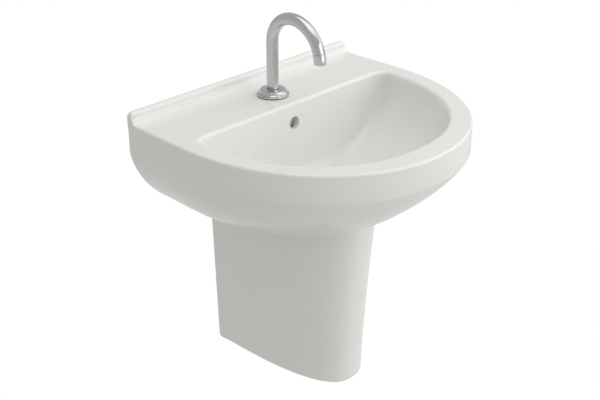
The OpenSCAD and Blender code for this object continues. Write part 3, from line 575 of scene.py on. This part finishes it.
def trumpet(r, depth, flare, normal_axis, centre, sides=64):
    """A cutter for a round hole whose mouth is rounded over; it opens along the axis."""
    profile = [(r, -depth), (r, -flare)]
    for a in quarter(8):
        profile.append((r + flare * (1 - math.cos(a)), -flare + flare * math.sin(a)))
    profile.append((r + flare + 0.5, 0.0))
    profile.append((r + flare + 0.5, 6.0))
    return lathe("cutter", profile, centre, axis=normal_axis, sides=sides, closed=False)


def block(name, low, high):
    xs, ys, zs = zip(low, high)
    verts = [(x, y, z) for x in xs for y in ys for z in zs]
    faces = [(0, 1, 3, 2), (4, 6, 7, 5), (0, 4, 5, 1), (2, 3, 7, 6), (0, 2, 6, 4), (1, 5, 7, 3)]
    return new_object(name, verts, faces)


def strip_along_x(name, section, half):
    """A section in y and z drawn out along X."""
    return skin(name, [[(x, y, z) for y, z in section] for x in (-half, half)], fan=False)


def duct_line(s, top_t, n=20):
    edge_z = RIM_Z - BOWL_EDGE_R
    out = []
    for i in range(n + 1):
        t = (i / n) ** 1.8 * top_t
        out.append((-bowl_back_y(t, s), lerp(FLOOR_Z - s, edge_z, t)))
    return out


def basin():
    body = basin_skin()
    combine(body, splash_ledge(), "UNION")
    duct = [(-WASTE_Y, FLOOR_Z - 5)] + duct_line(5, 1) + duct_line(25, 1)[::-1]
    duct.append((-WASTE_Y, FLOOR_Z - 25))
    combine(body, strip_along_x("duct", duct, DUCT_HALF), "UNION")
    boss = [(0.01, BOSS_Z), (BOSS_R - 2, BOSS_Z), (BOSS_R, BOSS_Z + 2)]
    boss += [(BOSS_R, FLOOR_Z - 5), (0.01, FLOOR_Z - 5)]
    combine(body, lathe("boss", boss, (0, -WASTE_Y, 0), closed=False, sides=64), "UNION")
    channel = [(-WASTE_Y, FLOOR_Z - 10)] + duct_line(10, CHANNEL_TOP) + duct_line(19, CHANNEL_TOP)[::-1]
    channel.append((-WASTE_Y, FLOOR_Z - 19))
    combine(body, strip_along_x("channel", channel, CHANNEL_HALF), "DIFFERENCE")
    cutters = [
        trumpet(OVERFLOW_R, 15, 2.2, "y", (0, OVERFLOW_Y, OVERFLOW_Z)),
        trumpet(23, 60, 1.0, "z", (0, -WASTE_Y, FLOOR_Z - 4)),
        trumpet(waste_high[0] + 1.0, 4, 2.0, "z", (0, -WASTE_Y, FLOOR_Z)),
        trumpet(17.5, 30, 1.0, "z", (0, -TAP_Y, RIM_Z)),
        block("window", (-WINDOW_HALF, -17, UNDER_Z - 1), (WINDOW_HALF, 10, WINDOW_TOP)),
    ]
    for side in (-1, 1):
        x = side * (bolt_high[0] - (bolt_high[2] - bolt_low[2]) / 2)
        cutters.append(trumpet(BASIN_BOLT_HOLE_R, 30, 1.0, "-y", (x, -BOLT_RELIEF, 0)))
        cutters.append(trumpet(BASIN_BOLT_RELIEF_R, BOLT_RELIEF, 0.8, "-y", (x, 0, 0)))
    for cutter in cutters:
        combine(body, cutter, "DIFFERENCE")
    shade(body, 40)
    place(body, "basin")


# ---------------------------------------------------------------------------
# Half pedestal
# ---------------------------------------------------------------------------

PED_HALF = 91
PED_SPREAD = ped_high[0] - PED_HALF
PED_TAPER = 2
PED_FOOT = ped_low[2]
PED_T = 10
PED_D = 318
PED_FLARE = -ped_low[1] - PED_D
PED_SIDE = 32
PED_POWER = 2.6
PED_EDGE_R = 13
PED_JOINT = 1.0
LUG_W = 32
LUG_H = 36
LUG_HOLE_R = 4.5
PED_NUT_SIZE = 13


def belly_reach(x, t):
    """How far the belly's outline at t reaches from the wall at x."""
    w = belly_half(t, 0)
    if abs(x) >= w:
        return 0.0
    ym = lerp(WIDEST_Y, FOOT_WIDEST_Y, t)
    return lerp(ym, belly_depth(t, 0), (1 - (abs(x) / w) ** FRONT_POWER) ** (1 / FRONT_POWER))


def underside_z(x, y):
    """Height of the basin's underside above a point at distance y from the wall."""
    if belly_reach(x, 1) >= y:
        return UNDER_Z
    low, high = 0.0, 1.0
    for _ in range(24):
        mid = (low + high) / 2
        if belly_reach(x, mid) < y:
            high = mid
        else:
            low = mid
    return lerp(CREASE_Z, UNDER_Z, (low + high) / 2)


def ped_outline(z, t, s, yb):
    depth = PED_D + PED_FLARE * t**1.5 - s
    half = PED_HALF + PED_SPREAD * t - s
    counts = (8, 6, 6, 72)
    return outline(z, half - PED_TAPER, half, yb, PED_SIDE, depth, PED_POWER, 6, 6, counts)


def under_basin(ring, drop):
    return np.array([(x, y, underside_z(x, -y) - PED_JOINT - drop) for x, y, _ in ring])


def semi_pedestal():
    floor = PED_FOOT + PED_T
    levels = 14
    rings = [ped_outline(floor, 0, PED_T + 6, PED_T + 6), ped_outline(floor, 0, PED_T + 4, PED_T + 4)]
    for a in quarter(5):
        s = PED_T + 4 * (1 - math.sin(a))
        rings.append(ped_outline(floor + 4 * (1 - math.cos(a)), 0, s, s))
    for i in range(1, levels):
        t = i / levels
        rings.append(ped_outline(lerp(floor, UNDER_Z, t), t, PED_T, PED_T))
    lip = 2.5
    rings.append(under_basin(ped_outline(0, 1, PED_T, PED_T), lip * 2))
    for a in [0] + quarter(4):
        s = PED_T - lip * (1 - math.cos(a))
        rings.append(under_basin(ped_outline(0, 1, s, s), lip * (1 - math.sin(a))))
    for a in [0] + quarter(5):
        s = lip * (1 - math.sin(a))
        rings.append(under_basin(ped_outline(0, 1, s, 0), lip * (1 - math.cos(a))))
    rings.append(under_basin(ped_outline(0, 1, 0, 0), lip * 2))
    for i in range(levels - 1, -1, -1):
        t = i / levels
        rings.append(ped_outline(lerp(PED_FOOT + PED_EDGE_R, UNDER_Z, t), t, 0, 0))
    for a in quarter(8):
        s = PED_EDGE_R * (1 - math.cos(a))
        rings.append(ped_outline(PED_FOOT + PED_EDGE_R * (1 - math.sin(a)), 0, s, s * 0.6))
    rings.append(ped_outline(PED_FOOT, 0, PED_EDGE_R + 3, PED_EDGE_R))
    body = skin("pedestal_china", rings, MATERIALS["glazed_china"])
    open_half = PED_HALF - PED_T - 3
    window = block("window", (-open_half, -PED_T - 1, floor), (open_half, 12, UNDER_Z + 40))
    combine(body, window, "DIFFERENCE")
    nuts_low, nuts_high = box_mm("pedestal_bolt_nuts")
    bolt_z = (nuts_low[2] + nuts_high[2]) / 2
    bolt_x = nuts_high[0] - PED_NUT_SIZE / math.cos(math.pi / 6) / 2
    lug_side = PED_HALF + PED_SPREAD * (bolt_z - PED_FOOT) / (UNDER_Z - PED_FOOT) - PED_T / 2
    for side in (-1, 1):
        inner, outer = side * (lug_side - LUG_W), side * lug_side
        low = (min(inner, outer), -BOLT_RELIEF - PED_T, bolt_z - LUG_H / 2)
        high = (max(inner, outer), -BOLT_RELIEF, bolt_z + LUG_H / 2)
        lug = block("lug", low, high)
        bevel(lug, 3)
        combine(body, lug, "UNION")
        mouth = (side * bolt_x, -BOLT_RELIEF, bolt_z)
        combine(body, trumpet(LUG_HOLE_R, 30, 0.8, "-y", mouth), "DIFFERENCE")
    shade(body, 40)
    place(body, "semi_pedestal")


def bevel(obj, width, segments=3):
    modifier = obj.modifiers.new("bevel", "BEVEL")
    modifier.width = width * MM
    modifier.segments = segments
    bpy.context.view_layer.update()
    remesh_from(obj)


# ---------------------------------------------------------------------------
# Tap
# ---------------------------------------------------------------------------

SPOUT_R = spout_high[0]
SLEEVE_R = sleeve_high[0]
SLEEVE_LEN = 19
SEAM = 0.2
SPOUT_WALL = 1.6
WAIST = 0.9
WAIST_H = 22
APEX_Z = spout_high[2] - SPOUT_R
REAR_R = 57
FRONT_R = 72
FRONT_CZ = APEX_Z - FRONT_R
REAR_CZ = APEX_Z - REAR_R
ARC_Y = TAP_Y + REAR_R
SHOULDER_Z = spout_low[2] + 40
BASE_TOP = collar_high[2]
COLLAR_R = collar_high[0]
SOCKET_R = 17
SHANK_R = 16


def arc_points(cz, r, a0, a1, n):
    """Points on a bend in the plane x = 0; angles run from the wall side upwards."""
    out = []
    for i in range(n + 1):
        a = math.radians(lerp(a0, a1, i / n))
        out.append((0, -ARC_Y + r * math.cos(a), cz + r * math.sin(a)))
    return out


def spout():
    seam = math.degrees(SEAM / FRONT_R)
    end = 180 - math.degrees(SLEEVE_LEN / FRONT_R) - seam
    column_n = 30
    column = [(0, -TAP_Y, lerp(SHOULDER_Z, REAR_CZ, i / column_n)) for i in range(column_n)]
    path = column + arc_points(REAR_CZ, REAR_R, 0, 90, 44)
    path += arc_points(FRONT_CZ, FRONT_R, 90, end, 56)[1:]
    radii = []
    for x, y, z in column:
        rise = min(max((z - BASE_TOP) / WAIST_H, 0), 1)
        radii.append(SPOUT_R - WAIST * (1 - math.sin(math.pi / 2 * rise)))
    radii += [SPOUT_R] * (len(path) - column_n)
    rings = sweep_rings(path, radii, 72)
    inner = sweep_rings(path, [r - SPOUT_WALL for r in radii], 72)
    rounding = sweep_rings(path, [r - 0.5 for r in radii], 72)
    rings = rings[:-1] + [lerp_ring(rings[-1], rings[-2], 0.3), rounding[-1]] + inner[::-1] + [rounding[0]]
    tube = skin("spout_tube", rings, closed=True)
    place(tube, "tap_spout")


def lerp_ring(a, b, t):
    return [np.array(p) + (np.array(q) - np.array(p)) * t for p, q in zip(a, b)]


def sleeve():
    start = 180 - math.degrees(SLEEVE_LEN / FRONT_R)
    path = arc_points(FRONT_CZ, FRONT_R, start, 180, 28)
    n = len(path)
    outer = []
    for i in range(n):
        arc = SLEEVE_LEN * i / (n - 1)
        near = min(arc, SLEEVE_LEN - arc)
        outer.append(SLEEVE_R - max(0.0, 0.7 - near) ** 2)
    rings = sweep_rings(path, outer, 72)
    bore = sweep_rings(path, [SLEEVE_R - 2.2] * n, 72)
    lip = sweep_rings(path, [SLEEVE_R - 1.3] * n, 72)
    rings = rings + [lip[-1]] + bore[::-1] + [lip[0]]
    place(skin("spout_sleeve", rings, closed=True), "aerator_sleeve")


def tap_plate(centre):
    r, z0, top = plate_high[0], gasket_high[2], collar_low[2]
    profile = [(SOCKET_R, z0), (r - 0.6, z0), (r, z0 + 0.5)]
    profile += [(r, top - 1.3), (r - 0.5, top - 0.5), (r - 1.6, top - 0.05), (r - 3, top), (SOCKET_R, top)]
    plate = lathe("tap_base_plate", rounded(profile, 0.4, 3), centre, sides=128)
    place(plate, "tap_body")
    shank = threaded_rod("tap_shank_thread", centre, SHANK_R, plate_low[2], z0 - 0.2, 1.5, 0.7)
    follow(shank, "tap_body")


def tap_collar(centre):
    """The domed ring: a flank that leans in, a rounded shoulder and a crown that meets the spout."""
    foot, crown = collar_low[2] + 0.15, collar_high[2]
    upper = COLLAR_R - 4
    bore = SOCKET_R + 0.4
    profile = [(bore, foot), (COLLAR_R - 0.3, foot), (COLLAR_R, foot + 0.3)]
    for i in range(1, 13):
        t = i / 12
        r = lerp(COLLAR_R, upper, t) - 0.7 * math.sin(math.pi * t)
        profile.append((r, lerp(foot + 0.3, crown - 2.6, t)))
    for a in quarter(8):
        profile.append((upper - 1.8 * (1 - math.cos(a)), crown - 2.6 + 1.6 * math.sin(a)))
    for a in quarter(8):
        r = lerp(upper - 1.8, SPOUT_R + 0.9, a / (math.pi / 2))
        profile.append((r, crown - 1.0 + math.sin(a)))
    profile += [(SPOUT_R + 0.3, crown - 0.3), (SPOUT_R + 0.3, crown - 2), (bore, crown - 2)]
    place(lathe("tap_base_ring", profile, centre, sides=128), "tap_base_collar")


def tap_base():
    centre = (0, -TAP_Y, 0)
    tap_plate(centre)
    tap_collar(centre)


def threaded_rod(name, centre, r, start, end, pitch, depth, sides=48, per_turn=8):
    """An upright rod with a true helical thread cut into it, from start to end."""
    steps = max(int((end - start) / pitch * per_turn), 8)
    cx, cy, cz = centre
    rings = []
    for i in range(steps + 1):
        h = lerp(start, end, i / steps)
        taper = min(1.0, (h - start) / pitch, (end - h) / pitch)
        ring = []
        for k in range(sides):
            turn = k / sides
            phase = (h / pitch - turn) % 1.0
            ridge = abs(2 * phase - 1)
            radius = r - depth * (1 - ridge * taper)
            a = -2 * math.pi * turn
            ring.append((cx + radius * math.cos(a), cy + radius * math.sin(a), cz + h))
        rings.append(ring)
    return skin(name, rings, sharp_deg=80)


# ---------------------------------------------------------------------------
# Camera, light and floor
# ---------------------------------------------------------------------------

VIEW_AZIMUTH = math.radians(45.44)
VIEW_ELEVATION = math.radians(26.44)
CAMERA_AT = (-1.5056, -1.6456, 0.9418)
LENS = 69.53
FLOOR_DROP = 850
FLOOR_HALF = 9000


def camera():
    a, e = VIEW_AZIMUTH, VIEW_ELEVATION
    back = Vector((-math.sin(a) * math.cos(e), -math.cos(a) * math.cos(e), math.sin(e)))
    right = Vector((math.cos(a), -math.sin(a), 0))
    up = back.cross(right)
    data = bpy.data.cameras.new("camera")
    data.lens = LENS
    data.sensor_width = 36
    data.clip_end = 50
    obj = bpy.data.objects.new("camera", data)
    bpy.context.scene.collection.objects.link(obj)
    turn = Matrix((right, up, back)).transposed().to_4x4()
    obj.matrix_world = Matrix.Translation(CAMERA_AT) @ turn
    bpy.context.scene.camera = obj


def area_light(name, at, aim, size, power):
    data = bpy.data.lights.new(name, "AREA")
    data.shape = "RECTANGLE"
    data.size, data.size_y = size
    data.energy = power
    obj = bpy.data.objects.new(name, data)
    bpy.context.scene.collection.objects.link(obj)
    direction = Vector(aim) - Vector(at)
    turn = direction.to_track_quat("-Z", "Y").to_matrix().to_4x4()
    obj.matrix_world = Matrix.Translation(at) @ turn
    return obj


def by_ray(tree, kind, one, other):
    """One shader for one kind of ray and another for the rest."""
    path = tree.nodes.new("ShaderNodeLightPath")
    mix = tree.nodes.new("ShaderNodeMixShader")
    tree.links.new(path.outputs[kind], mix.inputs["Fac"])
    tree.links.new(other, mix.inputs[1])
    tree.links.new(one, mix.inputs[2])
    return mix.outputs["Shader"]


def studio():
    middle = (0, -0.25, 0)
    area_light("key", (2.5, -1.1, 1.6), middle, (2.4, 2.2), 12)
    side = area_light("side", (3.0, -0.7, 0.3), middle, (1.2, 2.0), 15)
    side.visible_glossy = False
    area_light("front", (0.9, -2.9, 0.7), middle, (3.0, 2.2), 25)
    area_light("top", (0.3, -0.5, 2.4), middle, (2.6, 2.2), 17)
    world = bpy.data.worlds.new("studio")
    bpy.context.scene.world = world
    world.use_nodes = True
    tree = world.node_tree
    light = tree.nodes["Background"]
    light.inputs["Color"].default_value = (0.98, 1.0, 0.97, 1)
    light.inputs["Strength"].default_value = 0.56
    seen = tree.nodes.new("ShaderNodeBackground")
    seen.inputs["Color"].default_value = (1, 1, 1, 1)
    shown = by_ray(tree, "Is Camera Ray", seen.outputs["Background"], light.outputs["Background"])
    tree.links.new(shown, tree.nodes["World Output"].inputs["Surface"])
    bpy.context.scene.view_settings.view_transform = "Standard"


def floor():
    """A pale floor, 850 mm below the rim, that looks white to the camera."""
    z = RIM_Z - FLOOR_DROP
    verts = [(x * FLOOR_HALF, y * FLOOR_HALF, z) for x, y in ((-1, -1), (1, -1), (1, 1), (-1, 1))]
    obj = new_object("floor", verts, [(0, 1, 2, 3)])
    material = bpy.data.materials.new("pale_floor")
    material.use_nodes = True
    tree = material.node_tree
    pale = tree.nodes["Principled BSDF"]
    pale.inputs["Base Color"].default_value = (0.35, 0.35, 0.34, 1)
    pale.inputs["Roughness"].default_value = 0.9
    pale.inputs["Emission Color"].default_value = (1, 1, 0.97, 1)
    pale.inputs["Emission Strength"].default_value = 0.20
    lit = {}
    for kind, strength in (("Is Glossy Ray", 0.7), ("Is Camera Ray", 1.0)):
        lit[kind] = tree.nodes.new("ShaderNodeEmission")
        lit[kind].inputs["Strength"].default_value = strength
    shown = by_ray(tree, "Is Glossy Ray", lit["Is Glossy Ray"].outputs["Emission"], pale.outputs["BSDF"])
    shown = by_ray(tree, "Is Camera Ray", lit["Is Camera Ray"].outputs["Emission"], shown)
    tree.links.new(shown, tree.nodes["Material Output"].inputs["Surface"])
    obj.data.materials.append(material)


# ---------------------------------------------------------------------------
# Build
# ---------------------------------------------------------------------------

camera()
studio()
floor()
basin()
semi_pedestal()
spout()
sleeve()
tap_base()

for node, obj in frame["nodes"].items():
    for material_slot in obj.material_slots:
        material_slot.material = MATERIALS[SLOT_OF[node]]
